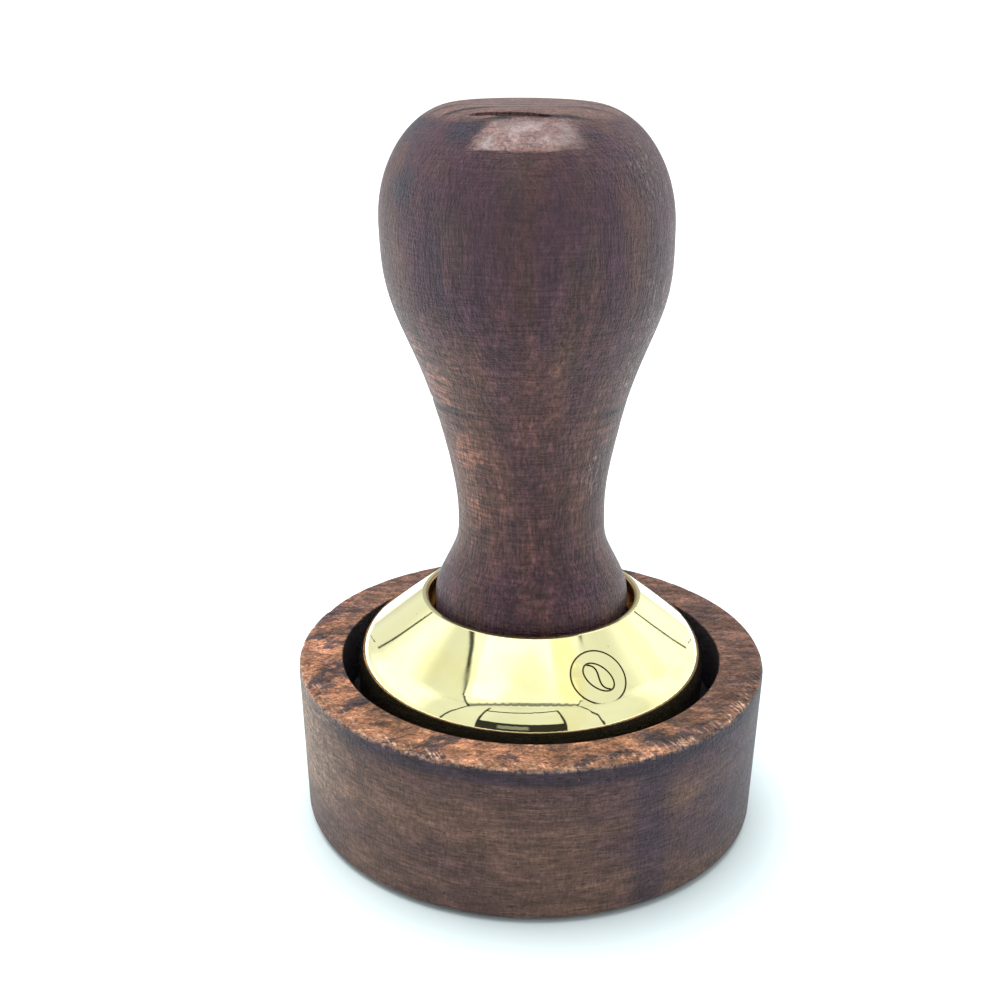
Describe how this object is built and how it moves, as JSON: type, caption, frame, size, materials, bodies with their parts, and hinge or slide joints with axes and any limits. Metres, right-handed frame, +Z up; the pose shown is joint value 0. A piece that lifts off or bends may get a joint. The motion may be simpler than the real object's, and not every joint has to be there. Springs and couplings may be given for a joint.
{
  "type": "espresso tamper",
  "caption": "Hand tamper for espresso: a turned wooden handle screwed onto a solid brass tamping base, standing in the recess of a round wooden holder.",
  "frame": {"origin": "centre of the face that the stand rests on", "axes": "+Z up along the common axis of stand, base and handle; -Y towards the side that carries the engraved emblem"},
  "size_m": [0.0778, 0.0778, 0.116],
  "materials": {
    "stand_wood": "oiled dark wood, worn on the rim",
    "pad_leather": "black, fine-grained",
    "foot_rubber": "matte",
    "polished_brass": "mirror polished",
    "stud_steel": "plain threaded steel",
    "washer_rubber": "matte",
    "insert_brass": "as turned",
    "handle_wood": "stained and waxed dark wood"
  },
  "bodies": {
    "stand": {"stand_body": "stand_wood", "leather_pad": "pad_leather", "foot_pad": "foot_rubber"},
    "base": {"tamper_base": "polished_brass", "base_stud": "stud_steel"},
    "washer": {"foot_washer": "washer_rubber"},
    "grip": {"handle": "handle_wood", "handle_insert": "insert_brass"}
  },
  "joints": [
    {"name": "tamper_lift", "type": "slide", "parent": "stand", "child": "base", "axis": [0, 0, 1], "range_m": [0, 0.05]},
    {"name": "handle_rise", "type": "slide", "parent": "base", "child": "washer", "axis": [0, 0, 1], "range_m": [0, 0.019]},
    {"name": "handle_unscrew", "type": "hinge", "parent": "washer", "child": "grip", "pos_m": [0, 0, 0.033], "axis": [0, 0, 1], "range_deg": [0, 5400]}
  ],
  "couplings": [
    {"joint": "handle_rise", "follows": "handle_unscrew", "m_per_rad": 0.00019894}
  ]
}
